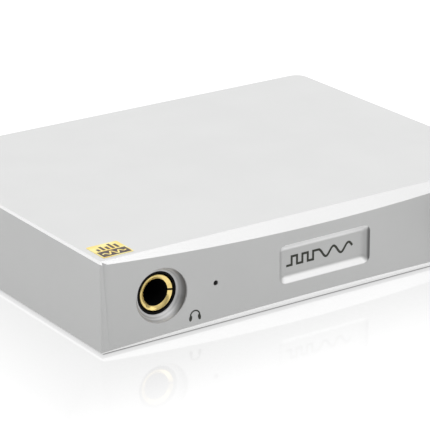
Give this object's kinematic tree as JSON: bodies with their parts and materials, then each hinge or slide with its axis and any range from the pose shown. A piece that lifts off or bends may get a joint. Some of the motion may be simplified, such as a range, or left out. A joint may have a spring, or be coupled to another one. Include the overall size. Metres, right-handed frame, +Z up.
{
  "type": "desktop dac",
  "caption": "Small aluminium desktop DAC with a headphone jack and a push volume knob in front, USB, optical, coaxial and phono sockets behind.",
  "frame": {"origin": "under the middle of the object's bounding box, on the surface that its feet stand on", "axes": "+X to the right of the front, -Y out of the front face, +Z up"},
  "size_m": [0.1206, 0.1112, 0.0227],
  "materials": {
    "case_aluminium": "fine bead-blasted, clear anodised",
    "knob_aluminium": "turned, knurled side",
    "steel": "zinc plated",
    "gold_plate": "gold plated, polished",
    "black_plastic": "moulded, satin",
    "white_plastic": "moulded",
    "red_plastic": "moulded",
    "orange_plastic": "moulded",
    "light_pipe": "smoked clear acrylic",
    "rubber": "matte",
    "sticker_foil": "printed metallic foil",
    "board_green": "solder mask over glass epoxy",
    "chip_black": "moulded epoxy",
    "can_aluminium": "drawn can",
    "screw_steel": "nickel plated"
  },
  "bodies": {
    "case": {"board_screw_1": "screw_steel", "board_screw_2": "screw_steel", "board_screw_3": "screw_steel", "board_screw_4": "screw_steel", "bottom_plate": "case_aluminium", "bottom_screw_back_left": "screw_steel", "bottom_screw_back_right": "screw_steel", "bottom_screw_front_left": "screw_steel", "bottom_screw_front_right": "screw_steel", "capacitor_1": "can_aluminium", "capacitor_2": "can_aluminium", "capacitor_3": "can_aluminium", "capacitor_4": "can_aluminium", "clock_44k": "can_aluminium", "clock_48k": "can_aluminium", "coax_barrel": "gold_plate", "coax_block": "black_plastic", "coax_insulator": "orange_plastic", "control_chip": "chip_black", "corner_sticker": "sticker_foil", "dac_chip": "chip_black", "encoder_body": "black_plastic", "encoder_bushing": "steel", "encoder_dome": "steel", "encoder_nut": "steel", "encoder_washer": "steel", "foot_back_left": "rubber", "foot_back_right": "rubber", "foot_front_left": "rubber", "foot_front_right": "rubber", "headphone_driver_chip": "chip_black", "jack_contact_ring": "gold_plate", "jack_contact_sleeve": "gold_plate", "jack_contact_tip": "gold_plate", "jack_ferrule": "gold_plate", "jack_housing": "black_plastic", "led_light_pipe": "light_pipe", "line_block": "black_plastic", "line_driver_chip": "chip_black", "line_left_barrel": "gold_plate", "line_left_insulator": "white_plastic", "line_right_barrel": "gold_plate", "line_right_insulator": "red_plastic", "main_board": "board_green", "optical_receiver": "white_plastic", "optical_socket": "black_plastic", "power_inductor": "chip_black", "rear_panel": "case_aluminium", "rear_screw_left": "screw_steel", "rear_screw_right": "screw_steel", "status_led": "white_plastic", "upper_shell": "case_aluminium", "usb_interface_chip": "chip_black", "usb_socket_shell": "steel", "usb_socket_tongue": "white_plastic"},
    "push": {"encoder_plunger": "white_plastic"},
    "knob": {"volume_knob": "knob_aluminium", "encoder_shaft": "steel"},
    "shutter": {"optical_shutter": "black_plastic"}
  },
  "joints": [
    {"name": "knob_push", "type": "slide", "parent": "case", "child": "push", "axis": [0, 1, 0], "range_m": [0, 0.0005], "stiffness_N_per_m": 4000},
    {"name": "knob_turn", "type": "hinge", "parent": "push", "child": "knob", "pos_m": [0.045, -0.04965, 0.0116], "axis": [0, -1, 0], "continuous": true},
    {"name": "optical_shutter_swing", "type": "hinge", "parent": "case", "child": "shutter", "pos_m": [0.012, 0.04655, 0.01435], "axis": [-1, 0, 0], "range_deg": [0, 78], "stiffness_Nm_per_rad": 0.001}
  ]
}
